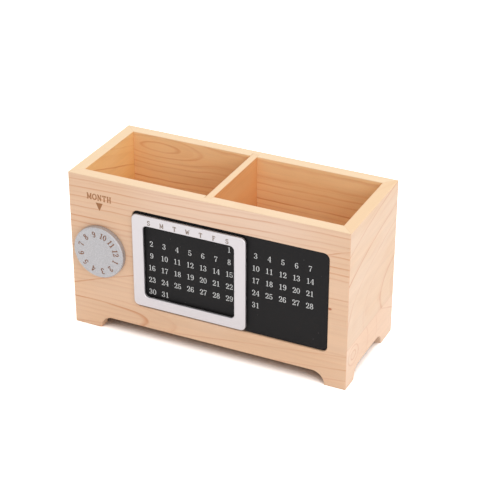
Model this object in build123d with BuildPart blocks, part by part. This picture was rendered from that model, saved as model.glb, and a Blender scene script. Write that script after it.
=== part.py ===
"""Open-topped wooden pen box on four corner feet, with a perpetual calendar on its front.

X runs along the box, +Y to its back and +Z up. The origin is on the floor, under the middle of
everything, dial included. All sizes are in millimetres.
"""
from build123d import *
import os

os.makedirs("parts", exist_ok=True)

# --- Case ------------------------------------------------------------------------------------
case_length = 170.0
case_depth = 69.4
case_height = 97.0
wall = 7.0
arris = 0.5  # radius that every shown edge of the wood is sanded to
glue_line = 0.05  # clearance on each side of a glued board in its groove

# Feet: what an arch in the lower edge of each wall leaves at its ends, seen from outside
arch_height = 7.5
long_left_foot = 17.0
long_right_foot = 13.0
short_left_foot = 12.0
short_right_foot = 16.0
stave_seam = 25.0  # height of the glue seam across the right side

# Boards inside the case
board_thickness = 4.0
board_underside = 10.0
board_groove = 3.0
divider_thickness = 4.0
divider_housing = 3.0

# --- Calendar --------------------------------------------------------------------------------
calendar_drop = 0.8  # from the middle of the front, between arch and rim, down to the calendar's
columns = 13
window_columns = 7
column_pitch = 8.0

window_height = 45.4
frame_stile = 6.85  # width of the frame's upright sides
frame_rail = 6.2  # width of its top and bottom
frame_thickness = 1.5
frame_corner = 3.2
window_corner = 2.6
frame_edge = 0.3

magnet_ring_thickness = 0.9
magnet_ring_inset = 0.6
slide_gap = 0.1  # air between the magnet ring and the plate

plate_thickness = 1.5
plate_edge = 0.2
plate_end_gap = 0.3
plate_side_gap = 0.35
plate_margin = 1.2  # of the plate that shows over the frame, and under it
recess_left = 40.1  # from the left end of the case
recess_depth = 2.5
recess_edge = 0.3

disc_magnet_diameter = 8.0
disc_magnet_thickness = 1.9
disc_magnet_gap = 0.1
disc_magnet_inset_x = 14.0  # from the plate's edges to the disc's middle
disc_magnet_inset_z = 12.0

# --- Month dial ------------------------------------------------------------------------------
dial_from_left = 19.4
dial_diameter = 31.5
dial_thickness = 3.2
dial_gap = 0.4  # between dial and wood, where the felt lies
dial_edge = 0.5
felt_width = 4.5
felt_clearance = 0.05  # to the wood and to the bush

stud_diameter = 5.0
spigot_diameter = 4.0
spigot_depth = 1.6
bush_wall = 1.2
bush_flange_width = 2.2
bush_flange_thickness = 1.0
running_gap = 0.05  # on the radius, and at the flange
washer_overhang = 2.0  # past the stud, over the bush's flange
washer_thickness = 0.6
screw_diameter = 3.0
screw_reach = 5.0
screw_gap = 0.05
screw_head_diameter = 6.0
screw_head_height = 2.0
screw_head_edge = 0.8
screw_slot_width = 0.9
screw_slot_length = 3.6
screw_slot_depth = 1.0

# --- Worked out from the sizes above -----------------------------------------------------------
dial_stands_off = dial_thickness + dial_gap
case_middle_y = dial_stands_off / 2
front_y = case_middle_y - case_depth / 2
back_y = case_middle_y + case_depth / 2
half_length = case_length / 2

inside_length = case_length - 2 * wall
inside_depth = case_depth - 2 * wall
board_top = board_underside + board_thickness

calendar_height = (arch_height + case_height) / 2 - calendar_drop
window_length = window_columns * column_pitch
frame_length = window_length + 2 * frame_stile
frame_height = window_height + 2 * frame_rail
plate_length = columns * column_pitch + 2 * frame_stile
plate_height = frame_height + 2 * plate_margin
plate_corner = frame_corner
magnet_spacing_x = plate_length - 2 * disc_magnet_inset_x
magnet_spacing_z = plate_height - 2 * disc_magnet_inset_z
recess_length = plate_length + 2 * plate_end_gap
recess_height = plate_height + 2 * plate_side_gap
recess_corner = plate_corner + plate_end_gap
plate_x = recess_left - half_length + recess_length / 2
frame_x = plate_x - (plate_length - frame_length) / 2
dial_x = dial_from_left - half_length

stud_length = dial_gap + wall + bush_flange_thickness + running_gap
bush_bore = stud_diameter + 2 * running_gap
bush_diameter = bush_bore + 2 * bush_wall

# --- Planes: each wall's outer face, with X to the right and Y up as seen from outside -------------
front_face = Plane(origin=(0, front_y, 0), x_dir=(1, 0, 0), z_dir=(0, -1, 0))
back_face = Plane(origin=(0, back_y, 0), x_dir=(-1, 0, 0), z_dir=(0, 1, 0))
left_face = Plane(origin=(-half_length, case_middle_y, 0), x_dir=(0, -1, 0), z_dir=(-1, 0, 0))
right_face = Plane(origin=(half_length, case_middle_y, 0), x_dir=(0, 1, 0), z_dir=(1, 0, 0))

recess_floor = front_face.offset(-recess_depth)
plate_front = recess_floor.offset(plate_thickness)
frame_back = plate_front.offset(slide_gap + magnet_ring_thickness)
front_inside = front_face.offset(-wall)
dial_back = front_face.offset(dial_gap)
stud_end = front_inside.offset(-bush_flange_thickness - running_gap)
washer_back = stud_end.offset(-washer_thickness)

dial_centre = (dial_x, calendar_height)
plate_centre = (plate_x, calendar_height)
frame_centre = (frame_x, calendar_height)


def finish(piece, name):
    """Label a finished piece and write its STEP file."""
    piece.part.label = name
    export_step(piece.part, f"parts/{name}.step")


def wall_board(face, length, left_foot, right_foot):
    """Board with 45 degree mitres, a foot arch, the bottom board's groove and sanded edges."""
    outward = Axis(face.origin, face.z_dir)
    plan = Plane(origin=face.origin, x_dir=face.x_dir, z_dir=face.y_dir)
    with BuildPart() as board:
        with BuildSketch(plan):
            Trapezoid(length, wall, 45, align=(Align.CENTER, Align.MIN))
        extrude(amount=case_height)
        rim_edges = board.edges().group_by(Axis.Z)[-1].filter_by(Axis(face.origin, face.x_dir))
        fillet(rim_edges.sort_by(outward)[0], arris)

        with BuildSketch(face):
            with Locations(((left_foot - right_foot) / 2, 0)):
                SlotOverall(length - left_foot - right_foot, 2 * arch_height)
        extrude(amount=-wall, mode=Mode.SUBTRACT)
        outer_face = board.faces().sort_by(outward)[-1]
        arch_edges = outer_face.edges().filter_by_position(Axis.Z, arris, arch_height + arris)
        chamfer(arch_edges, arris)

        with BuildSketch(Plane.XY.offset(board_underside - glue_line)):
            with Locations((0, case_middle_y)):
                Rectangle(inside_length + 2 * board_groove, inside_depth + 2 * board_groove)
        extrude(amount=board_thickness + 2 * glue_line, mode=Mode.SUBTRACT)
        add(sanded_block.part, mode=Mode.INTERSECT)
    return board.part


def divider_slot():
    """Sketch of the divider's housings, open to both long walls."""
    with BuildSketch(Plane.XY.offset(board_top)) as slot:
        with Locations((0, case_middle_y)):
            Rectangle(divider_thickness + 2 * glue_line, inside_depth + 2 * divider_housing)
    return slot.sketch


# The outer form of the glued case, with its outer edges sanded
with BuildPart() as sanded_block:
    with BuildSketch():
        with Locations((0, case_middle_y)):
            Rectangle(case_length, case_depth)
    extrude(amount=case_height)
    fillet(sanded_block.edges(), arris)

# Front wall: housings for the divider, the calendar's recess, magnet pockets and the bush's hole
with BuildPart() as front_panel:
    add(wall_board(front_face, case_length, long_left_foot, long_right_foot))
    extrude(divider_slot(), amount=case_height, mode=Mode.SUBTRACT)
    with BuildSketch(front_face):
        with Locations(plate_centre):
            RectangleRounded(recess_length, recess_height, recess_corner)
    extrude(amount=-recess_depth, mode=Mode.SUBTRACT)
    recess_rim = front_panel.faces().sort_by(Axis.Y)[0].inner_wires()[0].edges()
    chamfer(recess_rim, recess_edge)
    with BuildSketch(recess_floor):
        with Locations(plate_centre):
            with GridLocations(magnet_spacing_x, magnet_spacing_z, 2, 2):
                Circle(disc_magnet_diameter / 2 + disc_magnet_gap)
    extrude(amount=-disc_magnet_thickness - disc_magnet_gap, mode=Mode.SUBTRACT)
    with BuildSketch(front_face):
        with Locations(dial_centre):
            Circle(bush_diameter / 2 + glue_line)
    extrude(amount=-wall, mode=Mode.SUBTRACT)
finish(front_panel, "front_panel")

with BuildPart() as back_panel:
    add(wall_board(back_face, case_length, long_left_foot, long_right_foot))
    extrude(divider_slot(), amount=case_height, mode=Mode.SUBTRACT)
finish(back_panel, "back_panel")

with BuildPart() as left_panel:
    add(wall_board(left_face, case_depth, short_left_foot, short_right_foot))
finish(left_panel, "left_panel")

# The right wall is glued up from two staves
right_wall = wall_board(right_face, case_depth, short_left_foot, short_right_foot)
with BuildPart() as right_panel_upper:
    add(right_wall)
    split(bisect_by=Plane.XY.offset(stave_seam), keep=Keep.TOP)
finish(right_panel_upper, "right_panel_upper")

with BuildPart() as right_panel_lower:
    add(right_wall)
    split(bisect_by=Plane.XY.offset(stave_seam), keep=Keep.BOTTOM)
finish(right_panel_lower, "right_panel_lower")

with BuildPart() as divider:
    with BuildSketch(Plane.XY.offset(board_top)):
        with Locations((0, case_middle_y)):
            Rectangle(divider_thickness, inside_depth + 2 * (divider_housing - glue_line))
    extrude(amount=case_height - board_top)
    fillet(divider.edges().group_by(Axis.Z)[-1].filter_by(Axis.Y), arris)
finish(divider, "divider")

with BuildPart() as bottom_panel:
    with BuildSketch(Plane.XY.offset(board_underside)):
        with Locations((0, case_middle_y)):
            Rectangle(
                inside_length + 2 * (board_groove - glue_line),
                inside_depth + 2 * (board_groove - glue_line),
            )
    extrude(amount=board_thickness)
finish(bottom_panel, "bottom_panel")

# --- Calendar ----------------------------------------------------------------------------------
with BuildPart() as recess_magnets:
    with BuildSketch(recess_floor):
        with Locations(plate_centre):
            with GridLocations(magnet_spacing_x, magnet_spacing_z, 2, 2):
                Circle(disc_magnet_diameter / 2)
    extrude(amount=-disc_magnet_thickness)
finish(recess_magnets, "recess_magnets")

with BuildPart() as date_plate:
    with BuildSketch(recess_floor):
        with Locations(plate_centre):
            RectangleRounded(plate_length, plate_height, plate_corner)
    extrude(amount=plate_thickness)
    chamfer(date_plate.faces().sort_by(Axis.Y)[0].edges(), plate_edge)
finish(date_plate, "date_plate")

with BuildPart() as weekday_frame:
    with BuildSketch(frame_back):
        with Locations(frame_centre):
            RectangleRounded(frame_length, frame_height, frame_corner)
            RectangleRounded(window_length, window_height, window_corner, mode=Mode.SUBTRACT)
    extrude(amount=frame_thickness)
    chamfer(weekday_frame.faces().sort_by(Axis.Y)[0].edges(), frame_edge)
finish(weekday_frame, "weekday_frame")

with BuildPart() as frame_magnet:
    with BuildSketch(frame_back):
        with Locations(frame_centre):
            RectangleRounded(
                frame_length - 2 * magnet_ring_inset,
                frame_height - 2 * magnet_ring_inset,
                frame_corner - magnet_ring_inset,
            )
            RectangleRounded(
                window_length + 2 * magnet_ring_inset,
                window_height + 2 * magnet_ring_inset,
                window_corner + magnet_ring_inset,
                mode=Mode.SUBTRACT,
            )
    extrude(amount=-magnet_ring_thickness)
finish(frame_magnet, "frame_magnet")

# --- Month dial and what carries it ----------------------------------------------------------------
with BuildPart() as month_dial:
    with BuildSketch(dial_back):
        with Locations(dial_centre):
            Circle(dial_diameter / 2)
    extrude(amount=dial_thickness)
    chamfer(month_dial.edges().group_by(Axis.Y)[0], dial_edge)
    with BuildSketch(dial_back):
        with Locations(dial_centre):
            Circle(spigot_diameter / 2)
    extrude(amount=spigot_depth, mode=Mode.SUBTRACT)
finish(month_dial, "month_dial")

with BuildPart() as dial_felt:
    with BuildSketch(dial_back):
        with Locations(dial_centre):
            Circle(bush_diameter / 2 + felt_clearance + felt_width)
            Circle(bush_diameter / 2 + felt_clearance, mode=Mode.SUBTRACT)
    extrude(amount=felt_clearance - dial_gap)
finish(dial_felt, "dial_felt")

with BuildPart() as dial_stud:
    with BuildSketch(dial_back):
        with Locations(dial_centre):
            Circle(spigot_diameter / 2)
    extrude(amount=spigot_depth)
    with BuildSketch(dial_back):
        with Locations(dial_centre):
            Circle(stud_diameter / 2)
    extrude(amount=-stud_length)
    with BuildSketch(stud_end):
        with Locations(dial_centre):
            Circle(screw_diameter / 2)
    extrude(amount=screw_reach + screw_gap, mode=Mode.SUBTRACT)
finish(dial_stud, "dial_stud")

with BuildPart() as dial_bush:
    with BuildSketch(front_inside):
        with Locations(dial_centre):
            Circle(bush_diameter / 2 + bush_flange_width)
    extrude(amount=-bush_flange_thickness)
    with BuildSketch(front_inside):
        with Locations(dial_centre):
            Circle(bush_diameter / 2)
    extrude(amount=wall)
    with BuildSketch(front_face):
        with Locations(dial_centre):
            Circle(bush_bore / 2)
    extrude(amount=-wall - bush_flange_thickness, mode=Mode.SUBTRACT)
finish(dial_bush, "dial_bush")

with BuildPart() as dial_washer:
    with BuildSketch(stud_end):
        with Locations(dial_centre):
            Circle(stud_diameter / 2 + washer_overhang)
            Circle(screw_diameter / 2 + screw_gap, mode=Mode.SUBTRACT)
    extrude(amount=-washer_thickness)
finish(dial_washer, "dial_washer")

with BuildPart() as dial_screw:
    with BuildSketch(washer_back):
        with Locations(dial_centre):
            Circle(screw_head_diameter / 2)
    extrude(amount=-screw_head_height)
    chamfer(dial_screw.edges().group_by(Axis.Y)[-1], screw_head_edge)
    with BuildSketch(washer_back):
        with Locations(dial_centre):
            Circle(screw_diameter / 2 - screw_gap)
    extrude(amount=washer_thickness + screw_reach)
    with BuildSketch(washer_back.offset(-screw_head_height)):
        with Locations(dial_centre):
            Rectangle(screw_slot_length, screw_slot_width)
            Rectangle(screw_slot_width, screw_slot_length)
    extrude(amount=screw_slot_depth, mode=Mode.SUBTRACT)
finish(dial_screw, "dial_screw")
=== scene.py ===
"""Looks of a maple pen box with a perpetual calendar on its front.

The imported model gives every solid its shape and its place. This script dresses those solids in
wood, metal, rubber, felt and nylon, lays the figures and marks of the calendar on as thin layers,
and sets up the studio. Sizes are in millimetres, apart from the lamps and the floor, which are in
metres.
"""

import logging
import math
from dataclasses import dataclass, field
from enum import Enum

import bpy
from mathutils import Matrix, Vector
from mathutils.geometry import delaunay_2d_cdt


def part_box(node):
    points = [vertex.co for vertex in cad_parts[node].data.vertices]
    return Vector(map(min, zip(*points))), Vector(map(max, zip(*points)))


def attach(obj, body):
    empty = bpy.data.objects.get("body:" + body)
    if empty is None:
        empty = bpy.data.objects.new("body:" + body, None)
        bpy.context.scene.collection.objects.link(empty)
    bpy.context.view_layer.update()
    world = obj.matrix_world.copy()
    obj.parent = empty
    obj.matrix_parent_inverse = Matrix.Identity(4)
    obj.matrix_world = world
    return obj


LOG = logging.getLogger("pen_box")
MM = 0.001  # metres in a millimetre
COLUMN_PITCH = 8.0  # distance between columns of dates, and between the initials over them, in mm

Triple = tuple[float, float, float]
Colour = Triple
Pair = tuple[float, float]
Point = Pair
Socket = bpy.types.NodeSocket

WHITE = (1.0, 1.0, 1.0)


def linear(red: int, green: int, blue: int) -> Colour:
    """Turn a colour as a screen shows it, from 0 to 255, into the linear one that a shader takes."""
    shares = [value / 255 for value in (red, green, blue)]
    return tuple(share / 12.92 if share <= 0.04045 else ((share + 0.055) / 1.055) ** 2.4
                 for share in shares)


# --- Shader nodes ---


@dataclass(frozen=True)
class Noise:
    """A noise with grains of a chosen length.

    Attributes:
        length: Length of a grain along each axis, in millimetres.
        shift: How far the pattern is moved.
        detail: How many finer layers it has.
        roughness: How strong the finer layers are.
    """

    length: Triple
    shift: float
    detail: float = 2.0
    roughness: float = 0.5


class Graph:
    """The nodes of one material, or of the sky, with short calls that add a node and link it."""

    def __init__(self, owner: bpy.types.Material | bpy.types.World,
                 output: str = "OutputMaterial") -> None:
        """Start with the output node alone.

        Args:
            owner: Material or world that the nodes belong to.
            output: Type of the output node.
        """
        owner.use_nodes = True
        self.owner = owner
        self.tree = owner.node_tree
        self.tree.nodes.clear()
        self.output = self.add(output)

    def add(self, kind: str, inputs: dict[str | int, object] | None = None,
            **settings: object) -> bpy.types.Node:
        """Add a node.

        Args:
            kind: Blender's name of the node type, without ShaderNode.
            inputs: What fills its inputs, by the name or the number of the input.
            **settings: Properties of the node, by name.

        Returns:
            The new node.
        """
        node = self.tree.nodes.new("ShaderNode" + kind)
        for key, value in settings.items():
            setattr(node, key, value)
        for key, value in (inputs or {}).items():
            self.put(node.inputs[key], value)
        return node

    def put(self, socket: Socket, value: object) -> None:
        """Link a socket to another one, or set it when the value is a number or a colour.

        Args:
            socket: The input to fill.
            value: An output socket, a number, or a list of numbers.
        """
        if isinstance(value, bpy.types.NodeSocket):
            self.tree.links.new(value, socket)
        elif socket.type == "RGBA" and len(value) == 3:
            socket.default_value = (*value, 1.0)
        else:
            socket.default_value = value

    def math(self, operation: str, *values: object) -> Socket:
        """Work out a number from sockets and numbers, in the order of the node's inputs."""
        return self.add("Math", dict(enumerate(values)), operation=operation).outputs[0]

    def apart(self, first: object, second: object) -> Socket:
        """Work out how far apart two numbers are."""
        return self.math("ABSOLUTE", self.math("SUBTRACT", first, second))

    def length(self, vector: Socket) -> Socket:
        """Work out the length of a vector."""
        return self.add("VectorMath", {0: vector}, operation="LENGTH").outputs["Value"]

    def split(self, vector: Socket) -> list[Socket]:
        """Take a vector apart into its three numbers."""
        return list(self.add("SeparateXYZ", {0: vector}).outputs)

    def grey(self, value: Socket) -> Socket:
        """Turn a number into a grey colour."""
        return self.add("CombineColor", dict.fromkeys(range(3), value)).outputs[0]

    def spread(self, value: Socket, low: float, high: float,
               start: float = 0.0, end: float = 1.0) -> Socket:
        """Map low to start and high to end, smoothly, and hold the number beyond them."""
        inputs = dict(enumerate((value, low, high, start, end)))
        return self.add("MapRange", inputs, interpolation_type="SMOOTHSTEP").outputs[0]

    def vary(self, noise: Socket, amount: float, about: float = 0.0) -> Socket:
        """Turn a noise, which is about 0.5, into a number about another one, by this amount."""
        return self.math("MULTIPLY_ADD", noise, amount, about - amount / 2)

    def blend(self, kind: str, share: object, under: object, over: object) -> Socket:
        """Mix two colours by a blend type, such as MIX, where the share is how much of over counts."""
        inputs = {0: share, 6: under, 7: over}
        return self.add("Mix", inputs, data_type="RGBA", blend_type=kind).outputs[2]

    def place(self, turn: float = 0.0) -> Socket:
        """Read the place on the piece in millimetres, turned about Z by an angle in radians."""
        coordinates = self.add("TexCoord").outputs["Object"]
        inputs = {"Vector": coordinates, "Rotation": (0.0, 0.0, turn), "Scale": (1 / MM,) * 3}
        return self.add("Mapping", inputs).outputs[0]

    def stretch(self, vector: Socket, length: Triple, shift: float) -> Socket:
        """Stretch a pattern to grains of these lengths in millimetres, and move it, as boards differ."""
        scale, location = [1 / size for size in length], (shift, shift * 0.7, shift * 1.3)
        return self.add("Mapping", {"Vector": vector, "Scale": scale, "Location": location}).outputs[0]

    def noise(self, vector: Socket, noise: Noise, shift: float = 0.0) -> Socket:
        """Add a noise, a number about 0.5.

        Args:
            vector: Coordinates in millimetres.
            noise: Its grains.
            shift: How much further the pattern is moved.

        Returns:
            The noise.
        """
        vector = self.stretch(vector, noise.length, shift + noise.shift)
        inputs = {"Vector": vector, "Scale": 1.0, "Detail": noise.detail, "Roughness": noise.roughness}
        return self.add("TexNoise", inputs).outputs[0]

    def bump(self, height: Socket, depth: float, strength: float) -> Socket:
        """Bend the normal by a height from 0 to 1, whose full step is a depth in millimetres."""
        inputs = {"Strength": strength, "Distance": depth * MM, "Height": height}
        return self.add("Bump", inputs).outputs[0]

    def surface(self, **inputs: object) -> bpy.types.Material:
        """Finish the material with a Principled shader.

        Args:
            **inputs: Inputs of the shader by name, with _ for a space.

        Returns:
            The material.
        """
        named = {key.replace("_", " "): value for key, value in inputs.items()}
        shader = self.add("BsdfPrincipled", named)
        self.put(self.output.inputs["Surface"], shader.outputs[0])
        return self.owner


# --- Wood ---


class Grain(Enum):
    """Which way the fibres of a board run. The value is the turn about Z, in radians."""

    ALONG_LENGTH = 0.0
    ALONG_DEPTH = -math.pi / 2


@dataclass(frozen=True)
class Rings:
    """A family of rings, by where the middle of its log lies. Lengths are in millimetres.

    The board's own axes are along (with the fibres), up, and through (from front to back, or
    from right to left in a board whose fibres run along the depth).

    Attributes:
        pith_up: Height of the log's middle where along is 0.
        pith_through: Place of the log's middle through the board, where along is 0.
        climb: Rise of the log's middle for each millimetre along.
        drift: Move of the log's middle through the board for each millimetre along.
        strong: Radius and strength of each ring that stands out, the smallest first, ten at most.
        faint: Width and strength of the faint rings between them, if they show.
        wander: How far the rings stray from round.
        island: Place along the board where the rings close to ovals, if they do.
        oval: Length of such an oval as a multiple of its height.
        reach: How far from the island's middle up or down the ovals open into lines.
    """

    pith_up: float
    pith_through: float
    climb: float = 0.0
    drift: float = 0.0
    strong: tuple[Pair, ...] = ()
    faint: Pair | None = None
    wander: float = 2.4
    island: float | None = None
    oval: float = 4.2
    reach: float = 8.0


@dataclass(frozen=True)
class Maple:
    """Sanded maple with a clear matt oil.

    Attributes:
        name: Name of the finish.
        grain: Which way the fibres run.
        pale: Colour of the early wood.
        warm: Colour of the warmer patches.
        shift: Moves the noises, so that no two boards are alike.
        rings: Families of rings that show on the board.
        late: Colour of the thin late wood lines.
        inside: What the colour is multiplied by on the inner faces: painted warm bounce light and shade
            of the hollow box, which makes them more orange.
        rim: Colour that the upper edge is blended towards.
        seam: Whether a glue seam runs along the board, under the upper stave of the right side.
        knot: Place of a small knot along and up, if it has one.
        heart: Middle along and up of a paler stretch, if it has one.
    """

    name: str
    grain: Grain
    pale: Colour
    warm: Colour
    shift: float
    rings: tuple[Rings, ...]
    late: Colour = linear(200, 126, 80)
    inside: Colour = (1.09, 1.01, 0.79)
    rim: Colour = linear(231, 204, 169)
    seam: bool = False
    knot: Point | None = None
    heart: Point | None = None

    def material(self) -> bpy.types.Material:
        """Make the material of one board."""
        return Board(self).finish()


class Board(Graph):
    """The nodes of one maple board."""

    PATCH = Noise((60.0, 26.0, 26.0), 0.0)
    UNEVEN = Noise((80.0, 11.0, 11.0), 1.0, 1.0)
    FLECK = Noise((2.2, 0.28, 0.28), 2.0, 1.0)
    WAVE = Noise((55.0, 30.0, 30.0), 3.0, 1.0)
    FADE = Noise((28.0, 9.0, 9.0), 4.0)
    STREAK = Noise((90.0, 3.2, 3.2), 5.0, 3.0, 0.6)
    RIPPLE = Noise((14.0, 9.0, 9.0), 7.0)
    FIBRE = Noise((34.0, 0.55, 0.55), 9.0, 4.0, 0.65)
    RIPPLE_DEPTH = 0.9  # how far the ripples move a ring, in mm
    LINE = ((-0.95, 0.0), (-0.12, 1.0), (0.2, 0.0))  # offset from a ring in mm, and strength there
    MARGIN = 3.0  # past the first and the last strong ring, in mm
    KNOT_SIZE = (1.3, 0.9)  # half length and half height, in mm
    KNOT_COLOUR = linear(168, 86, 48)
    HEART_SIZE = (64.0, 26.0)

    def __init__(self, maple: Maple) -> None:
        """Start the material.

        Args:
            maple: What the board looks like.
        """
        super().__init__(bpy.data.materials.new(maple.name))
        self.maple = maple
        self.board = self.place(maple.grain.value)

    def finish(self) -> bpy.types.Material:
        """Colour the wood and give it its surface.

        Returns:
            The material.
        """
        late = self._late_wood()
        fibre = self._grains(self.FIBRE)
        share = self.spread(self._grains(self.PATCH), 0.3, 0.7)
        if self.maple.heart:
            away = self.spread(self._away(self.maple.heart, self.HEART_SIZE), 0.4, 1.3)
            share = self.math("MULTIPLY_ADD", share, 0.3, self.math("MULTIPLY", away, 0.7))
        colour = self.blend("MIX", share, self.maple.pale, self.maple.warm)
        for tone in (
            self.vary(self._grains(self.STREAK), 0.16, 1.0),
            self.vary(fibre, 0.10, 1.0),
            self.spread(self._grains(self.FLECK), 0.62, 0.80, 1.0, 0.93),
        ):
            colour = self.blend("MULTIPLY", 1.0, colour, self.grey(tone))
        colour = self.blend("MIX", late, colour, self.maple.late)
        if self.maple.knot:
            share = self.spread(self._away(self.maple.knot, self.KNOT_SIZE), 0.4, 1.2, 0.9, 0.0)
            colour = self.blend("MIX", share, colour, self.KNOT_COLOUR)
        height = self.math("SUBTRACT", fibre, self.math("MULTIPLY", late, 0.4))
        return self.surface(
            Base_Color=self._with_joints_and_inside(colour),
            Roughness=self.vary(fibre, 0.16, 0.58),
            Normal=self.bump(height, 0.035, 0.5),
            IOR=1.45,
        )

    def _grains(self, noise: Noise) -> Socket:
        """Add a noise that is this board's own."""
        return self.noise(self.board, noise, self.maple.shift)

    def _radius(self, rings: Rings) -> Socket:
        """Work out how far a point is from the middle of the log.

        Args:
            rings: The family of rings.

        Returns:
            The distance in millimetres, with the log's own unevenness.
        """
        along, through, up = self.split(self.board)
        middle_up = self.math("MULTIPLY_ADD", along, rings.climb, rings.pith_up)
        middle_through = self.math("MULTIPLY_ADD", along, rings.drift, rings.pith_through)
        sides = [self.math("SUBTRACT", up, middle_up), self.math("SUBTRACT", through, middle_through)]
        if rings.island is not None:
            offset = self.math("DIVIDE", self.apart(along, rings.island), rings.oval)
            sides.append(self.math("SMOOTH_MIN", offset, rings.reach, rings.reach / 3))
        radius = self.length(self.add("CombineXYZ", dict(enumerate(sides))).outputs[0])
        wave = self.vary(self._grains(self.WAVE), rings.wander)
        ripple = self.vary(self._grains(self.RIPPLE), self.RIPPLE_DEPTH)
        return self.math("ADD", self.math("ADD", radius, wave), ripple)

    def _late_wood(self) -> Socket:
        """Draw the thin dark lines that end each year's ring.

        Returns:
            How much of the late wood's colour shows, from 0 to 1.
        """
        uneven = self.spread(self._grains(self.UNEVEN), 0.38, 0.66, 0.05, 1.0)
        fade = self.spread(self._grains(self.FADE), 0.3, 0.6, 0.45, 1.0)
        late = 0.0
        for rings in self.maple.rings:
            radius = self._radius(rings)
            if rings.faint:
                width, strength = rings.faint
                years = self.math("FRACT", self.math("DIVIDE", radius, width))
                lines = self.spread(years, 0.45, 0.96, 0.0, strength)
                lines = self.math("MULTIPLY", lines, self.spread(years, 0.96, 1.0, 1.0, 0.0))
                late = self.math("MAXIMUM", late, self.math("MULTIPLY", lines, uneven))
            if rings.strong:
                lines = self._strong_lines(radius, rings.strong)
                late = self.math("MAXIMUM", late, self.math("MULTIPLY", lines, fade))
        return late

    def _strong_lines(self, radius: Socket, strong: tuple[Pair, ...]) -> Socket:
        """Draw the lines of the rings that stand out.

        Args:
            radius: Distance from the middle of the log, in millimetres.
            strong: Radius and strength of each ring.

        Returns:
            How much of them shows, from 0 to 1.
        """
        first, last = strong[0][0] - self.MARGIN, strong[-1][0] + self.MARGIN
        share = self.math("DIVIDE", self.math("SUBTRACT", radius, first), last - first)
        ramp = self.add("ValToRGB", {0: share})
        stops = ramp.color_ramp.elements
        stops[1].color = stops[0].color = (0, 0, 0, 1)
        for ring, strength in strong:
            for offset, level in self.LINE:
                stop = stops.new((ring + offset - first) / (last - first))
                stop.color = (*(level * strength,) * 3, 1)
        return ramp.outputs[0]

    def _away(self, middle: Point, size: Pair) -> Socket:
        """Work out how far a point is from the middle of an oval on the board.

        Args:
            middle: Middle of the oval, along and up.
            size: Half its length and half its height.

        Returns:
            The distance, which is 1 on the oval.
        """
        location, scale = (middle[0], 0.0, middle[1]), (size[0], 1e6, size[1])
        inputs = {"Vector": self.board, "Location": location, "Scale": scale}
        return self.length(self.add("Mapping", inputs, vector_type="TEXTURE").outputs[0])

    def _with_joints_and_inside(self, colour: Socket) -> Socket:
        """Warm the inner faces with painted bounce light and shade, tint the rim, and darken the glue
        lines of mitres and a seam.

        Args:
            colour: Colour of the wood.

        Returns:
            The colour with the painted bounce light of its inner faces, its rim tint and its glue lines.
        """
        low, high = CASE.box()
        middle, half = (low + high) / 2 / MM, (high - low) / 2 / MM
        *level, up = self.split(self.place())
        across = [self.math("SUBTRACT", half[axis], self.apart(place, middle[axis]))
                  for axis, place in enumerate(level)]
        depth = self.spread(self.math("MINIMUM", *across), WALL - 0.2, WALL - 0.03)
        # Painted warm bounce light and shade on the inner faces of the hollow box.
        colour = self.blend("MULTIPLY", depth, colour, self.maple.inside)
        top = self.spread(up, high.z / MM - 0.6, high.z / MM - 0.2, 0.0, 0.85)
        colour = self.blend("MIX", top, colour, self.maple.rim)
        mitre = self.spread(self.apart(*across), 0.03, 0.16, 0.4, 0.0)
        colour = self.blend("MULTIPLY", mitre, colour, self.maple.late)
        if not self.maple.seam:
            return colour
        gap = self.apart(up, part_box("right_panel_upper")[0].z / MM)
        return self.blend("MULTIPLY", self.spread(gap, 0.05, 0.22, 0.35, 0.0), colour, self.maple.late)


# --- Other finishes ---


@dataclass(frozen=True)
class Metal:
    """Bare metal: rolled, brushed or sand-blasted.

    Attributes:
        name: Name of the finish.
        colour: Colour of the metal.
        roughness: How matt it is.
        grain: Length of its marks along X, Y and Z, in millimetres.
        relief: Height of the marks, in millimetres.
        speckle: How much the marks change the colour.
    """

    name: str
    colour: Colour
    roughness: float
    grain: Triple
    relief: float
    speckle: float

    CLOUD = Noise((14.0, 14.0, 14.0), 8.0)

    def material(self) -> bpy.types.Material:
        """Make the material.

        Returns:
            The material.
        """
        graph = Graph(bpy.data.materials.new(self.name))
        place = graph.place()
        marks = graph.noise(place, Noise(self.grain, 3.0, 3.0, 0.7))
        dark = tuple(channel * (1 - self.speckle) for channel in self.colour)
        return graph.surface(
            Base_Color=graph.blend("MIX", graph.spread(marks, 0.3, 0.7), dark, self.colour),
            Metallic=1.0,
            Roughness=graph.vary(graph.noise(place, self.CLOUD), 0.10, self.roughness),
            Normal=graph.bump(marks, self.relief, 0.6),
        )


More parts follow.
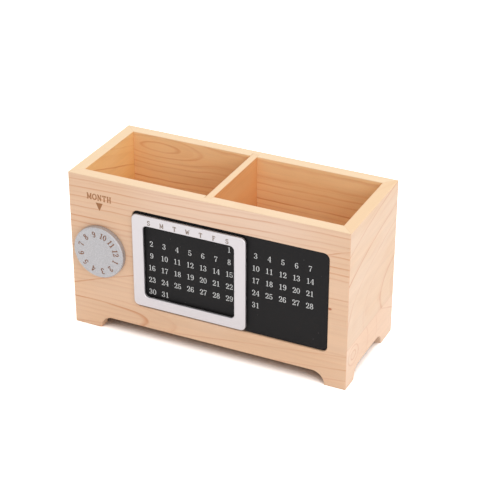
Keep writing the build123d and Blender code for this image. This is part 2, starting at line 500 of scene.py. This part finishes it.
@dataclass(frozen=True)
class Coat:
    """A matt coat, moulded plastic, rubber, felt or printed ink.

    Attributes:
        name: Name of the finish.
        colour: Main colour.
        roughness: How matt it is.
        mottle: How much the colour varies.
        grain: Size of its texture, in millimetres.
        relief: Height of the texture, in millimetres.
        dust: How strongly the pale specks on it show, from 0 to 1.
        sheen: How much the fibres catch light from the side.
        specular: Strength of its gloss.
    """

    name: str
    colour: Colour
    roughness: float
    mottle: float
    grain: float
    relief: float
    dust: float = 0.0
    sheen: float = 0.0
    specular: float = 0.5

    CLOUD = Noise((25.0, 25.0, 25.0), 6.0)
    SPECK_SPACING = (4.2, 4.2, 4.2)
    SPECK_COLOUR = linear(150, 146, 144)

    def material(self) -> bpy.types.Material:
        """Make the material.

        Returns:
            The material.
        """
        graph = Graph(bpy.data.materials.new(self.name))
        place = graph.place()
        texture = graph.noise(place, Noise((self.grain,) * 3, 2.0, 3.0, 0.6))
        cloud = graph.noise(place, self.CLOUD)
        dark = tuple(channel * (1 - self.mottle) for channel in self.colour)
        share = graph.math("MULTIPLY", graph.math("ADD", texture, cloud), 0.5)
        colour = graph.blend("MIX", graph.spread(share, 0.35, 0.65), dark, self.colour)
        if self.dust:
            inputs = {"Vector": graph.stretch(place, self.SPECK_SPACING, 1.0), "Scale": 1.0}
            cells = graph.add("TexVoronoi", inputs)
            speck = graph.spread(cells.outputs["Distance"], 0.03, 0.06, self.dust, 0.0)
            colour = graph.blend("MIX", speck, colour, self.SPECK_COLOUR)
        return graph.surface(
            Base_Color=colour,
            Roughness=graph.vary(cloud, 0.12, self.roughness),
            Specular_IOR_Level=self.specular,
            Sheen_Weight=self.sheen,
            Normal=graph.bump(texture, self.relief, 0.5),
        )


# --- Figures and letters ---


class Weight(Enum):
    """How heavy a stroke is."""

    STEM = "stem"
    HAIR = "hair"
    BAR = "bar"


@dataclass(frozen=True)
class Pen:
    """Stroke widths, as shares of the height of a figure.

    Attributes:
        stem: Width of an upright stroke.
        hair: Width of a thin stroke or a serif.
        bar: Width of a thick level stroke.
    """

    stem: float
    hair: float
    bar: float

    def width(self, weight: Weight) -> float:
        """Give the width of a stroke of this weight."""
        return getattr(self, weight.value)


def ribbon(line: list[Point], widths: list[float]) -> list[Point]:
    """Give a line its width.

    Args:
        line: Points along the middle.
        widths: Full width at each point.

    Returns:
        The corners of the ribbon, anticlockwise.
    """
    left, right = [], []
    for index, (x, y) in enumerate(line):
        before, after = line[max(index - 1, 0)], line[min(index + 1, len(line) - 1)]
        run, rise = after[0] - before[0], after[1] - before[1]
        length = math.hypot(run, rise)
        half = widths[index] / 2 / length
        left.append((x - rise * half, y + run * half))
        right.append((x + rise * half, y - run * half))
    return right + left[::-1]


@dataclass(frozen=True)
class Line:
    """A straight stroke."""

    start: Point
    end: Point
    weight: Weight

    def outlines(self, pen: Pen) -> list[list[Point]]:
        """Draw the stroke with a pen."""
        return [ribbon([self.start, self.end], [pen.width(self.weight)] * 2)]


@dataclass(frozen=True)
class Arc:
    """Part of an oval, thick at its sides and thin at its top and foot.

    Attributes:
        centre: Middle of the oval.
        radii: Half its width and half its height, to the middle of the stroke.
        start: Angle where it starts, in degrees.
        end: Angle where it ends, in degrees.
    """

    centre: Point
    radii: Point
    start: float = 0.0
    end: float = 360.0

    STEP = 12.0

    def outlines(self, pen: Pen) -> list[list[Point]]:
        """Draw the stroke with a pen, in parts of at most half a turn."""
        span = self.end - self.start
        parts = max(1, math.ceil(abs(span) / 190))
        shapes = []
        for part in range(parts):
            first = self.start + span * part / parts
            steps = max(2, round(abs(span) / parts / self.STEP))
            angles = [math.radians(first + span / parts * step / steps) for step in range(steps + 1)]
            line = [(self.centre[0] + self.radii[0] * math.cos(angle),
                     self.centre[1] + self.radii[1] * math.sin(angle)) for angle in angles]
            widths = [pen.hair + (pen.stem - pen.hair) * abs(math.cos(angle)) ** 1.3 for angle in angles]
            shapes.append(ribbon(line, widths))
        return shapes


@dataclass(frozen=True)
class Sweep:
    """A curved stroke through a few points, whose width changes along it.

    Attributes:
        points: Points that it passes.
        weights: Weight at each point.
    """

    points: tuple[Point, ...]
    weights: tuple[Weight, ...]

    STEPS = 6

    def outlines(self, pen: Pen) -> list[list[Point]]:
        """Draw the stroke with a pen."""
        knots = [Vector((*point, pen.width(weight))) for point, weight in zip(self.points, self.weights)]
        knots = [2 * knots[0] - knots[1], *knots, 2 * knots[-1] - knots[-2]]
        line, widths = [], []
        for index in range(1, len(knots) - 2):
            a, b, c, d = knots[index - 1:index + 3]
            for step in range(self.STEPS + (index == len(knots) - 3)):
                t = step / self.STEPS
                place = (2 * b + (c - a) * t + (2 * a - 5 * b + 4 * c - d) * t**2
                         + (3 * b - a - 3 * c + d) * t**3) / 2
                line.append((place.x, place.y))
                widths.append(place.z)
        return [ribbon(line, widths)]


@dataclass(frozen=True)
class Dot:
    """The round end of a thin stroke."""

    centre: Point
    radius: float

    SIDES = 14

    def outlines(self, pen: Pen) -> list[list[Point]]:
        """Draw the dot. The pen doesn't change it."""
        angles = [2 * math.pi * side / self.SIDES for side in range(self.SIDES)]
        return [[(self.centre[0] + self.radius * math.cos(angle),
                  self.centre[1] + self.radius * math.sin(angle)) for angle in angles]]


@dataclass(frozen=True)
class Glyph:
    """One figure or letter, one unit high.

    Attributes:
        width: Room that it takes along the line.
        strokes: Its strokes.
        turned: Whether it is drawn upside down, as a 9 is a 6.
    """

    width: float
    strokes: tuple[Line | Arc | Sweep | Dot, ...]
    turned: bool = False

    def skin(self, pen: Pen) -> tuple[list[Point], list[list[int]]]:
        """Draw the glyph with a pen, and join its strokes into one flat skin.

        Args:
            pen: The stroke widths.

        Returns:
            Its points, with the middle of its width at 0, and its faces.
        """
        points, outlines = [], []
        for stroke in self.strokes:
            for outline in stroke.outlines(pen):
                outlines.append(list(range(len(points), len(points) + len(outline))))
                points += [Vector(point) for point in outline]
        united = delaunay_2d_cdt(points, [], outlines, 0, 1e-5)
        places, triangles, owners = united[0], united[2], united[5]
        faces = [list(face) for face, owner in zip(triangles, owners) if owner]
        if self.turned:
            return [(self.width / 2 - place.x, 1 - place.y) for place in places], faces
        return [(place.x - self.width / 2, place.y) for place in places], faces


STEM, HAIR, BAR = Weight.STEM, Weight.HAIR, Weight.BAR


def serif(x: float, y: float, reach: float) -> Line:
    """A level serif, reach to each side of x."""
    return Line((x - reach, y), (x + reach, y), HAIR)


SIX = (
    Arc((0.335, 0.49), (0.245, 0.46), 62, 200),
    Arc((0.31, 0.29), (0.205, 0.26)),
    Dot((0.475, 0.845), 0.068),
)
GLYPHS = {
    "0": Glyph(0.62, (Arc((0.31, 0.5), (0.215, 0.465)),)),
    "1": Glyph(0.62, (
        Line((0.33, 0.0), (0.33, 0.98), STEM),
        Line((0.12, 0.80), (0.34, 0.95), HAIR),
        serif(0.33, 0.035, 0.21),
    )),
    "2": Glyph(0.62, (
        Arc((0.30, 0.72), (0.195, 0.245), 172, -28),
        Dot((0.128, 0.715), 0.078),
        Sweep(((0.475, 0.61), (0.40, 0.44), (0.22, 0.24), (0.09, 0.06)), (STEM, STEM, HAIR, HAIR)),
        Line((0.07, 0.075), (0.53, 0.075), BAR),
        Line((0.545, 0.01), (0.572, 0.27), HAIR),
    )),
    "3": Glyph(0.62, (
        Arc((0.28, 0.745), (0.175, 0.222), 155, -88),
        Arc((0.28, 0.272), (0.215, 0.24), 88, -158),
        Dot((0.135, 0.80), 0.066),
        Dot((0.105, 0.225), 0.076),
        Line((0.20, 0.52), (0.31, 0.52), HAIR),
    )),
    "4": Glyph(0.62, (
        Line((0.41, 0.96), (0.05, 0.30), HAIR),
        Line((0.04, 0.285), (0.58, 0.285), HAIR),
        Line((0.44, 0.0), (0.44, 0.98), STEM),
        serif(0.44, 0.035, 0.15),
    )),
    "5": Glyph(0.62, (
        Line((0.135, 0.95), (0.115, 0.48), HAIR),
        Line((0.13, 0.905), (0.51, 0.905), BAR),
        Arc((0.29, 0.30), (0.22, 0.265), 142, -158),
        Dot((0.105, 0.215), 0.076),
    )),
    "6": Glyph(0.62, SIX),
    "7": Glyph(0.62, (
        Line((0.07, 0.905), (0.56, 0.905), BAR),
        Line((0.075, 0.98), (0.065, 0.72), HAIR),
        Sweep(((0.545, 0.93), (0.41, 0.62), (0.30, 0.34), (0.26, 0.0)), (HAIR, HAIR, STEM, STEM)),
    )),
    "8": Glyph(0.62, (
        Arc((0.31, 0.745), (0.165, 0.222)),
        Arc((0.31, 0.268), (0.205, 0.235)),
    )),
    "9": Glyph(0.62, SIX, turned=True),
    "F": Glyph(0.80, (
        Line((0.24, 0.0), (0.24, 1.0), STEM),
        Line((0.08, 0.955), (0.70, 0.955), HAIR),
        Line((0.68, 1.0), (0.68, 0.72), HAIR),
        Line((0.24, 0.51), (0.52, 0.51), HAIR),
        Line((0.50, 0.64), (0.50, 0.38), HAIR),
        serif(0.24, 0.045, 0.17),
    )),
    "H": Glyph(0.90, (
        Line((0.22, 0.0), (0.22, 1.0), STEM),
        Line((0.68, 0.0), (0.68, 1.0), STEM),
        Line((0.22, 0.51), (0.68, 0.51), HAIR),
        *(serif(x, y, 0.15) for x in (0.22, 0.68) for y in (0.045, 0.955)),
    )),
    "M": Glyph(0.98, (
        Line((0.17, 0.0), (0.17, 1.0), HAIR),
        Line((0.79, 0.0), (0.79, 1.0), STEM),
        Line((0.17, 0.96), (0.48, 0.16), STEM),
        Line((0.48, 0.16), (0.79, 0.96), HAIR),
        *(serif(x, 0.045, 0.14) for x in (0.17, 0.79)),
        *(serif(x, 0.955, 0.09) for x in (0.13, 0.84)),
    )),
    "N": Glyph(0.90, (
        Line((0.20, 0.0), (0.20, 1.0), HAIR),
        Line((0.70, 0.0), (0.70, 1.0), HAIR),
        Line((0.20, 0.95), (0.70, 0.05), STEM),
        *(serif(x, y, 0.13) for x, y in ((0.20, 0.045), (0.16, 0.955), (0.70, 0.955))),
    )),
    "O": Glyph(0.90, (Arc((0.45, 0.5), (0.34, 0.455)),)),
    "S": Glyph(0.74, (
        Arc((0.36, 0.735), (0.22, 0.22), 25, 272),
        Arc((0.36, 0.265), (0.24, 0.22), 92, -158),
        Line((0.585, 0.98), (0.575, 0.72), HAIR),
        Line((0.115, 0.30), (0.105, 0.02), HAIR),
    )),
    "T": Glyph(0.80, (
        Line((0.40, 0.0), (0.40, 1.0), STEM),
        Line((0.06, 0.955), (0.74, 0.955), HAIR),
        Line((0.075, 1.0), (0.065, 0.70), HAIR),
        Line((0.725, 1.0), (0.735, 0.70), HAIR),
        serif(0.40, 0.045, 0.17),
    )),
    "W": Glyph(1.02, (
        Line((0.13, 0.96), (0.32, 0.02), STEM),
        Line((0.32, 0.02), (0.51, 0.80), HAIR),
        Line((0.51, 0.80), (0.70, 0.02), STEM),
        Line((0.70, 0.02), (0.89, 0.96), HAIR),
        *(serif(x, 0.955, 0.12) for x in (0.13, 0.89)),
    )),
}


# --- Printed layers ---


@dataclass(frozen=True)
class Lettering:
    """How a layer of marks is written.

    Attributes:
        height: Height of the letters, in millimetres.
        narrow: Width of the letters as a share of their own.
        pen: What they are drawn with.
        space: Gap between letters, as a share of their height.
        thickness: Thickness of the layer, in millimetres.
    """

    height: float
    narrow: float
    pen: Pen
    space: float = 0.02
    thickness: float = 0.01


@dataclass
class Print:
    """A layer of printed, painted or burnt marks on one upright surface.

    Attributes:
        name: Name of the piece.
        surface: Place of the surface along Y, in metres.
        lettering: How it is written.
        points: Corners so far, in metres, as X and Z.
        faces: Faces so far, anticlockwise as seen from the front.
    """

    name: str
    surface: float
    lettering: Lettering
    points: list[Point] = field(default_factory=list)
    faces: list[list[int]] = field(default_factory=list)

    def write(self, text: str, centre: Point, turn: float = 0.0) -> None:
        """Add a word or a number.

        Args:
            text: What to write.
            centre: Middle of the text as X and Z, in metres.
            turn: Angle that turns the text clockwise, in degrees.
        """
        style = self.lettering
        glyphs = [GLYPHS[letter] for letter in text]
        cursor = -(sum(glyph.width for glyph in glyphs) + style.space * (len(text) - 1)) / 2
        spin = Matrix.Rotation(-math.radians(turn), 2)
        for glyph in glyphs:
            places, faces = glyph.skin(style.pen)
            for x, y in places:
                local = Vector(((x + cursor + glyph.width / 2) * style.narrow, y - 0.5))
                self.points.append(tuple(spin @ local * style.height * MM + Vector(centre)))
            first = len(self.points) - len(places)
            self.faces += [[first + corner for corner in face] for face in faces]
            cursor += glyph.width + style.space

    def fill(self, corners: list[Point]) -> None:
        """Add a filled shape, by its corners as X and Z, in metres and anticlockwise."""
        self.faces.append(list(range(len(self.points), len(self.points) + len(corners))))
        self.points += corners

    def piece(self, body: str, slot: str, finish: Coat) -> None:
        """Make the layer a thin solid that lies on its surface.

        Args:
            body: Body that it rides on.
            slot: The record's material slot under it. Not used.
            finish: What it is made of.
        """
        mesh = bpy.data.meshes.new(self.name)
        mesh.from_pydata([(x, self.surface, z) for x, z in self.points], [], self.faces)
        mesh.materials.append(finish.material())
        layer = bpy.data.objects.new(self.name, mesh)
        bpy.context.scene.collection.objects.link(layer)
        bpy.ops.object.select_all(action="DESELECT")
        layer.select_set(True)
        bpy.context.view_layer.objects.active = layer
        solid = layer.modifiers.new("thickness", "SOLIDIFY")
        solid.thickness, solid.offset = self.lettering.thickness * MM, 1.0
        bpy.ops.object.modifier_apply(modifier=solid.name)
        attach(layer, body)


def dress(node: str, finish: Maple | Metal | Coat) -> None:
    """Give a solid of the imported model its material.

    Args:
        node: Name of the solid.
        finish: What it is made of.
    """
    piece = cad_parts[node]
    piece.data.materials.clear()
    piece.data.materials.append(finish.material())
    LOG.info("%s is dressed in %s", node, finish.name)


def middle(node: str) -> Vector:
    """Give the middle of a solid's box, in metres."""
    low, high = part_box(node)
    return (low + high) / 2


# --- Sub-assemblies ---


@dataclass
class Case:
    """The mitred maple box with its divider and bottom board.

    Attributes:
        walls: The boards that stand round it.
    """

    walls: tuple[str, ...] = (
        "front_panel", "back_panel", "left_panel", "right_panel_upper", "right_panel_lower")

    def box(self) -> tuple[Vector, Vector]:
        """Give the lowest and highest corner of the walls together, in metres."""
        corners = [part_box(wall) for wall in self.walls]
        low = Vector([min(corner[0][axis] for corner in corners) for axis in range(3)])
        high = Vector([max(corner[1][axis] for corner in corners) for axis in range(3)])
        return low, high

    def build(self) -> None:
        """Dress the boards and the magnets behind the date plate."""
        for node, finish in BOARDS.items():
            dress(node, finish)
        dress("recess_magnets", PLATED_STEEL)


@dataclass
class DatePlate:
    """The black plate with thirteen columns of dates.

    Attributes:
        columns: Number of columns.
        window_columns: Columns that the weekday frame shows.
        row_pitch: Distance between rows, in millimetres.
        rows: Number of rows.
        last_date: The last day of a long month.
        below_middle: How far the middle of the rows lies under the plate's, in millimetres.
        lettering: How the dates are written.
    """

    columns: int = 13
    window_columns: int = 7
    row_pitch: float = 7.65
    rows: int = 6
    last_date: int = 31
    below_middle: float = 0.4
    lettering: Lettering = Lettering(3.4, 1.06, Pen(0.114, 0.052, 0.104), thickness=0.02)

    def build(self) -> None:
        """Dress the plate and print its dates."""
        dress("date_plate", BLACK_COAT)
        layer = Print("date_numbers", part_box("date_plate")[0].y, self.lettering)
        for column in range(self.columns):
            for row in range(self.rows):
                date = self.window_columns * (row - 1) + column + 2
                if 1 <= date <= self.last_date:
                    run = (column - (self.window_columns - 1) / 2) * COLUMN_PITCH
                    rise = ((self.rows - 1) / 2 - row) * self.row_pitch - self.below_middle
                    x, z = middle("weekday_frame").x + run * MM, middle("date_plate").z + rise * MM
                    layer.write(str(date), (x, z))
        layer.piece("case", "black_plate", WHITE_INK)
        LOG.info("date plate: %d columns of dates", self.columns)


@dataclass
class WeekdayFrame:
    """The silver frame that slides over the date plate, on its magnetic ring.

    Attributes:
        initials: First letters of the days, from Sunday.
        from_top: Distance of their middle from the top edge, in millimetres.
        lettering: How they are written.
    """

    initials: str = "SMTWTFS"
    from_top: float = 3.75
    lettering: Lettering = Lettering(2.8, 0.95, Pen(0.220, 0.135, 0.16), thickness=0.02)

    def build(self) -> None:
        """Dress the frame and print its initials."""
        dress("weekday_frame", SATIN_SILVER)
        dress("frame_magnet", MAGNET_RUBBER)
        low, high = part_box("weekday_frame")
        layer = Print("weekday_initials", low.y, self.lettering)
        for index, initial in enumerate(self.initials):
            run = (index - (len(self.initials) - 1) / 2) * COLUMN_PITCH
            layer.write(initial, (middle("weekday_frame").x + run * MM, high.z - self.from_top * MM))
        layer.piece("weekday_slider", "silver_frame", GREY_INK)
        LOG.info("weekday frame: initials %s", self.initials)


@dataclass
class MonthDial:
    """The sand-blasted dial with the months by number, on its stud, bush, washer and screw.

    Attributes:
        months: Number of months round the dial.
        figure_radius: Distance of the figures' middle from the dial's, in millimetres.
        top_month: The month next to the top of the dial.
        top_turn: Angle of that month from the top, clockwise, in degrees.
        lettering: How the figures are written.
    """

    months: int = 12
    figure_radius: float = 11.45
    top_month: int = 9
    top_turn: float = -12.0
    lettering: Lettering = Lettering(3.6, 0.98, Pen(0.200, 0.118, 0.165))

    def build(self) -> None:
        """Dress the dial and what carries it, and print its figures."""
        dress("month_dial", BLASTED_METAL)
        dress("dial_felt", GREY_FELT)
        dress("dial_bush", NYLON)
        for node in ("dial_stud", "dial_washer", "dial_screw"):
            dress(node, PLATED_STEEL)
        centre = middle("month_dial")
        layer = Print("month_numerals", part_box("month_dial")[0].y, self.lettering)
        for month in range(1, self.months + 1):
            turn = self.top_turn + (month - self.top_month) * 360 / self.months
            x = centre.x + self.figure_radius * MM * math.sin(math.radians(turn))
            z = centre.z + self.figure_radius * MM * math.cos(math.radians(turn))
            layer.write(str(month), (x, z), turn)
        layer.piece("month_knob", "blasted_metal", BROWN_FILL)
        LOG.info("month dial: %d figures", self.months)


@dataclass
class MonthMark:
    """The word and the pointer that are burnt into the wood over the dial.

    Attributes:
        word: What it says.
        word_height: Height of the word's middle over the floor, in millimetres.
        pointer_width: Width of the pointer, in millimetres.
        pointer_top: Height of its upper edge over the floor, in millimetres.
        pointer_tip: Height of its tip over the floor, in millimetres.
        lettering: How the word is written.
    """

    word: str = "MONTH"
    word_height: float = 84.6
    pointer_width: float = 4.5
    pointer_top: float = 81.3
    pointer_tip: float = 76.4
    lettering: Lettering = Lettering(3.7, 0.92, Pen(0.210, 0.140, 0.16), space=0.04)

    def build(self) -> None:
        """Burn the word and the pointer into the front."""
        x = middle("month_dial").x
        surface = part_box("front_panel")[0].y
        word = Print("month_word", surface, self.lettering)
        word.write(self.word, (x, self.word_height * MM))
        pointer = Print("month_pointer", surface, self.lettering)
        half, top = self.pointer_width / 2 * MM, self.pointer_top * MM
        pointer.fill([(x - half, top), (x, self.pointer_tip * MM), (x + half, top)])
        for layer in (word, pointer):
            layer.piece("case", "maple", BURNT_WOOD)
        LOG.info("month mark: %s and its pointer", self.word)


# --- Studio ---


@dataclass(frozen=True)
class Lamp:
    """A square soft box that points at the object.

    Attributes:
        name: Name of the lamp.
        place: Where it hangs, in metres.
        size: Length of its side, in metres.
        power: Its power in watts.
    """

    name: str
    place: Triple
    size: float
    power: float

    def hang(self) -> None:
        """Hang the lamp and turn it to the object."""
        data = bpy.data.lights.new(self.name, "AREA")
        data.shape, data.size, data.energy = "SQUARE", self.size, self.power
        lamp = bpy.data.objects.new(self.name, data)
        bpy.context.scene.collection.objects.link(lamp)
        lamp.location = self.place
        lamp.rotation_euler = Vector(self.place).to_track_quat("Z", "Y").to_euler()


@dataclass
class Studio:
    """The floor, the lamps, the sky and the camera.

    Attributes:
        aim: Point that the camera looks at, in millimetres.
        distance: Distance of the camera from it, in millimetres.
        azimuth: Angle of the camera to the right of the front, in degrees.
        elevation: Angle of the camera over the floor, in degrees.
        roll: Turn of the camera about its own axis, in degrees.
        lens: Focal length, in millimetres.
        sensor: Width of the sensor, in millimetres.
        lamps: The lamps.
        sky: Strength of the even light from all round.
        floor_size: Length of the floor's side, in metres.
        floor_gap: Air under the feet, so that they and the floor don't share a face, in millimetres.
        floor_colour: Colour of the floor in the light that it throws back.
        floor_white: How much of its light the floor shows in mirrors. Over 1 it is white where no
            deep shadow lies.
        camera_white: How many times as much it shows to the camera.
        lit_ground: Between which distances from the box the lamps' light fades, in millimetres.
        nook: What the floor's colour is multiplied by where the box closes it in: a painted contact
            shadow, darker than the lamps alone make it.
        nook_reach: How near the box counts for that, in millimetres.
        nook_open: Share of open sky where the painted shadow is darkest, and where it ends.
    """

    aim: Triple = (8.58, 6.57, 49.67)
    distance: float = 908.7
    azimuth: float = 25.317
    elevation: float = 28.839
    roll: float = 0.151
    lens: float = 115.28
    sensor: float = 36.0
    lamps: tuple[Lamp, ...] = (
        Lamp("overhead_box", (0.1, 0.15, 1.5), 1.4, 10.2),
        Lamp("right_box", (1.5, -0.9, 1.0), 1.0, 10.2),
    )
    sky: float = 0.70
    floor_size: float = 8.0
    floor_gap: float = 0.03
    floor_colour: Colour = (0.88, 0.88, 0.88)
    floor_white: float = 1.16
    camera_white: float = 1.45
    lit_ground: Pair = (450.0, 2500.0)
    nook: Colour = (0.20, 0.155, 0.135)
    nook_reach: float = 60.0
    nook_open: Pair = (0.06, 0.37)

    def build(self) -> None:
        """Set up the whole studio."""
        self._camera()
        self._floor()
        self._sky()
        for lamp in self.lamps:
            lamp.hang()
        bpy.context.scene.view_settings.view_transform = "Standard"
        LOG.info("studio: camera at %.1f degrees round and %.1f up", self.azimuth, self.elevation)

    def _camera(self) -> None:
        """Place the camera."""
        round_, up = math.radians(self.azimuth), math.radians(self.elevation)
        back = Vector((math.sin(round_) * math.cos(up), -math.cos(round_) * math.cos(up), math.sin(up)))
        data = bpy.data.cameras.new("camera")
        data.lens, data.sensor_width = self.lens, self.sensor
        camera = bpy.data.objects.new("camera", data)
        bpy.context.scene.collection.objects.link(camera)
        turn = back.to_track_quat("Z", "Y").to_matrix().to_4x4()
        spin = Matrix.Rotation(math.radians(self.roll), 4, "Z")
        place = Matrix.Translation((Vector(self.aim) + back * self.distance) * MM)
        camera.matrix_world = place @ turn @ spin
        bpy.context.scene.camera = camera

    def _floor(self) -> None:
        """Lay the floor, which shows as white, takes the lamps' shadow, and has a painted contact shadow
        where the box closes it in.
        """
        bpy.ops.object.select_all(action="DESELECT")
        bpy.ops.mesh.primitive_plane_add(size=self.floor_size, location=(0, 0, -self.floor_gap * MM))
        floor = bpy.context.active_object
        floor.name = "floor"
        graph = Graph(bpy.data.materials.new("pale_floor"))
        # Painted contact shadow: ambient occlusion near the box darkens the floor's colour.
        hollow = graph.add("AmbientOcclusion", {"Distance": self.nook_reach * MM}, samples=12)
        openness = graph.spread(hollow.outputs["AO"], *self.nook_open)
        far = graph.length(graph.place())
        white = graph.spread(far, *self.lit_ground, self.floor_white, 2 * self.floor_white)
        to_camera = graph.add("LightPath").outputs["Is Camera Ray"]
        more = graph.math("MULTIPLY_ADD", to_camera, self.camera_white - 1, 1.0)
        shown = graph.blend("MIX", openness, self.nook, WHITE)
        shown = graph.blend("MULTIPLY", 1.0, shown, graph.grey(graph.math("MULTIPLY", white, more)))
        colour = graph.blend("MIX", self._seen(graph), self.floor_colour, shown)
        shade = graph.add("BsdfDiffuse", {"Color": colour})
        graph.put(graph.output.inputs["Surface"], shade.outputs[0])
        floor.data.materials.append(graph.owner)

    @staticmethod
    def _seen(graph: Graph) -> Socket:
        """Tell whether a ray comes from the camera, or from a mirror or glass.

        Args:
            graph: Nodes of the floor or the sky.

        Returns:
            1 for such a ray, 0 for the light itself.
        """
        path = graph.add("LightPath")
        seen = graph.math("MAXIMUM", path.outputs["Is Camera Ray"], path.outputs["Is Glossy Ray"])
        return graph.math("MAXIMUM", seen, path.outputs["Is Transmission Ray"])

    def _sky(self) -> None:
        """Light the scene evenly from all round, and show white behind it."""
        world = bpy.data.worlds.new("sky")
        bpy.context.scene.world = world
        graph = Graph(world, "OutputWorld")
        lit = graph.add("Background", {"Color": WHITE, "Strength": self.sky})
        white = graph.add("Background", {"Color": WHITE, "Strength": 1.0})
        mix = graph.add("MixShader", {0: self._seen(graph), 1: lit.outputs[0], 2: white.outputs[0]})
        graph.put(graph.output.inputs["Surface"], mix.outputs[0])


# --- What the pieces are made of ---


BOARDS = {
    "front_panel": Maple(
        "maple_front", Grain.ALONG_LENGTH, linear(238, 206, 182), linear(231, 190, 155), 1.7, (
            Rings(-200.0, -33.0, climb=0.03, faint=(3.1, 0.15), strong=(
                (253.9, 0.5), (265.9, 0.6), (269.1, 0.7), (272.9, 0.8), (279.1, 0.7),
                (282.4, 0.35), (285.7, 0.6), (291.4, 0.65), (296.1, 0.45))),
            Rings(-200.0, -33.0, climb=0.35, strong=((256.4, 0.8),), wander=1.6),
            Rings(-200.0, -33.0, climb=0.12, wander=1.6, strong=(
                (195.9, 0.45), (202.9, 0.65), (211.4, 0.45))),
            Rings(13.7, -16.5, climb=0.067, drift=0.194, strong=((9.3, 0.85), (12.6, 0.25)), wander=1.6),
        ), knot=(74.4, 49.0), heart=(12.0, 92.0)),
    "back_panel": Maple(
        "maple_back", Grain.ALONG_LENGTH, linear(244, 216, 184), linear(240, 206, 168), 4.1, (
            Rings(90.0, 29.5, island=-60.0, faint=(5.2, 0.12), wander=1.6, strong=(
                (3.0, 0.5), (6.4, 0.45), (9.5, 0.35), (12.4, 0.4), (16.0, 0.4), (21.0, 0.85),
                (24.0, 0.35), (31.0, 0.4), (42.0, 0.4), (56.0, 0.4))),
        )),
    "left_panel": Maple(
        "maple_left", Grain.ALONG_DEPTH, linear(238, 204, 160), linear(235, 194, 140), 8.3, (
            Rings(-140.0, 78.0, climb=-0.35, strong=((226.0, 0.75), (237.6, 0.3)), faint=(9.0, 0.1)),
        )),
    "right_panel_upper": Maple(
        "maple_right_upper", Grain.ALONG_DEPTH, linear(233, 204, 179), linear(231, 197, 166), 2.9, (
            Rings(33.0, -53.2, drift=-0.377, faint=(7.0, 0.12), strong=(
                (26.5, 0.6), (36.0, 0.15), (45.0, 0.3), (54.3, 0.7), (67.0, 0.6))),
        ), rim=linear(229, 196, 156), seam=True),
    "right_panel_lower": Maple(
        "maple_right_lower", Grain.ALONG_DEPTH, linear(239, 211, 188), linear(237, 203, 176), 6.6, (
            Rings(17.5, -85.0, island=-23.0, oval=1.3, reach=90.0, wander=3.0, strong=(
                (3.2, 0.6), (6.2, 0.45), (17.0, 0.25), (27.0, 0.2))),
            Rings(-100.0, -85.0, climb=-0.46, strong=((133.2, 0.5),), faint=(6.0, 0.05)),
        ), seam=True),
    "divider": Maple(
        "maple_divider", Grain.ALONG_DEPTH, linear(224, 175, 131), linear(219, 158, 108), 11.2, (
            Rings(-140.0, 0.0, climb=0.05, faint=(1.9, 0.6), wander=3.0),
        )),
    "bottom_panel": Maple(
        "maple_bottom", Grain.ALONG_LENGTH, linear(236, 202, 176), linear(230, 189, 158), 13.4, (
            Rings(-30.0, 0.0, drift=0.02, faint=(4.0, 0.2), strong=(
                (42.0, 0.5), (47.0, 0.4), (53.0, 0.4))),
        )),
}
PLATED_STEEL = Metal("plated_steel", (0.62, 0.62, 0.63), 0.28, (0.15, 2.0, 0.15), 0.004, 0.06)
SATIN_SILVER = Metal("satin_silver", linear(210, 205, 207), 0.48, (6.0, 0.2, 0.12), 0.002, 0.03)
BLASTED_METAL = Metal("blasted_metal", linear(195, 193, 195), 0.62, (0.55, 0.55, 0.55), 0.03, 0.20)
BLACK_COAT = Coat("matt_black_coat", (0.009, 0.008, 0.0085), 0.58, 0.2, 0.35, 0.008,
                  dust=0.30, specular=0.2)
MAGNET_RUBBER = Coat("magnet_rubber", (0.016, 0.016, 0.016), 0.8, 0.2, 0.5, 0.02, specular=0.3)
GREY_FELT = Coat("grey_felt", (0.30, 0.28, 0.26), 0.95, 0.35, 0.18, 0.12, sheen=0.4)
NYLON = Coat("natural_nylon", (0.80, 0.78, 0.72), 0.45, 0.05, 1.2, 0.01)
WHITE_INK = Coat("white_ink", (0.72, 0.72, 0.71), 0.6, 0.10, 0.3, 0.004)
GREY_INK = Coat("brown_grey_ink", linear(140, 122, 109), 0.6, 0.12, 0.3, 0.004)
BROWN_FILL = Coat("brown_fill", linear(142, 101, 78), 0.7, 0.3, 0.3, 0.01)
BURNT_WOOD = Coat("burnt_wood", linear(188, 130, 88), 0.8, 0.35, 0.35, 0.02, specular=0.3)

CASE = Case()
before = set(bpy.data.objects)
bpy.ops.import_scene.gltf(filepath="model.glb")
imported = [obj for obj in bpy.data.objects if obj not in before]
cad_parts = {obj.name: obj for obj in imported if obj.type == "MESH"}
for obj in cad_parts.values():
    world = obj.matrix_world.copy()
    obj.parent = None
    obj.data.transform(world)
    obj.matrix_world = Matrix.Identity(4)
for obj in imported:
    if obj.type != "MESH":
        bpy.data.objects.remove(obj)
WALL = (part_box("left_panel")[1].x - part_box("left_panel")[0].x) / MM  # thickness of a wall, in mm


def main() -> None:
    """Dress and print the whole pen box, and set up the studio."""
    logging.basicConfig(level=logging.INFO, format="%(message)s")
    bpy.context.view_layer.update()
    for assembly in (CASE, DatePlate(), WeekdayFrame(), MonthDial(), MonthMark(), Studio()):
        assembly.build()


if __name__ == "__main__":
    main()
